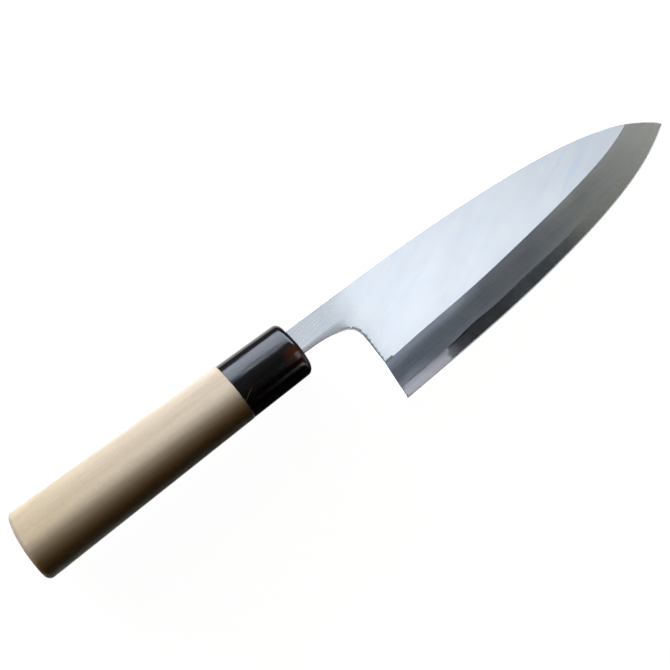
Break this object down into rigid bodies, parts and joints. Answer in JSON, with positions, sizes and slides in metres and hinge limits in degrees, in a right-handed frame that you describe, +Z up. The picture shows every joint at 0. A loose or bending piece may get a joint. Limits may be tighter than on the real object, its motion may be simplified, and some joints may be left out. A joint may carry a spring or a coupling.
{
  "type": "deba knife",
  "caption": "Single-bevel fish knife: laminated blade with hollow back, neck and curved choil, black horn ferrule and pale wooden handle of D section, lying on its back face.",
  "frame": {"origin": "middle of the footprint, on the surface that the knife lies on", "axes": "+X along the knife to the tip, +Y across the blade to the spine, +Z up, out of the bevelled front face; the knife rests on its hollow back, rolled 5.4 degrees edge-down and 1.3 degrees tip-down, as it lies"},
  "size_m": [0.321, 0.0582, 0.0259],
  "materials": {
    "soft_iron": "fine satin polish on the flat, lightly hazed grinding lines on the bevel",
    "hard_steel": "bright polish, hollow-ground back",
    "horn": "polished black buffalo horn with faint brown streaks",
    "handle_wood": "fine sanded pale magnolia, unvarnished",
    "pitch": "dull dark pitch"
  },
  "bodies": {
    "root": {"blade_iron": "soft_iron", "blade_steel": "hard_steel", "horn_ferrule": "horn", "handle_wood": "handle_wood", "tang_seal": "pitch"}
  },
  "joints": []
}
